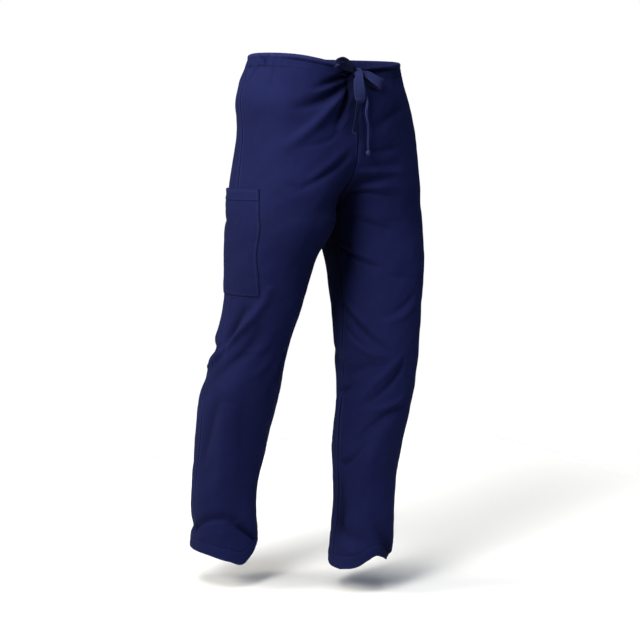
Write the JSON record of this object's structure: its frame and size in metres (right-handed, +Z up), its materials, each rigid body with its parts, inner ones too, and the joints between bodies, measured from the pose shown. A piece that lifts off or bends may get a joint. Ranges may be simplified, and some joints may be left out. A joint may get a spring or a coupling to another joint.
{
  "type": "drawstring scrub trousers",
  "caption": "Navy drawstring scrub trousers in a worn, walking pose, with a gathered waist casing tied in a bow and a patch pocket on the right thigh.",
  "frame": {"origin": "centre of the waist opening, level with the middle of its edge", "axes": "+Z up along the wearer, -Y towards the garment's front, -X towards the wearer's right, the pocket's side"},
  "size_m": [0.4236, 0.3527, 1.0253],
  "materials": {
    "cloth": "matt poplin, navy",
    "tape": "matt woven tape, navy"
  },
  "bodies": {
    "root": {"front_right": "cloth", "back_right": "cloth", "front_left": "cloth", "back_left": "cloth", "casing_right": "cloth", "casing_left": "cloth", "cargo_pocket": "cloth", "drawstring_band": "tape", "tie_knot": "tape", "tie_loop_right": "tape", "tie_loop_left": "tape", "tie_end_right": "tape", "tie_end_left": "tape", "tie_end_knot": "tape"}
  },
  "joints": []
}
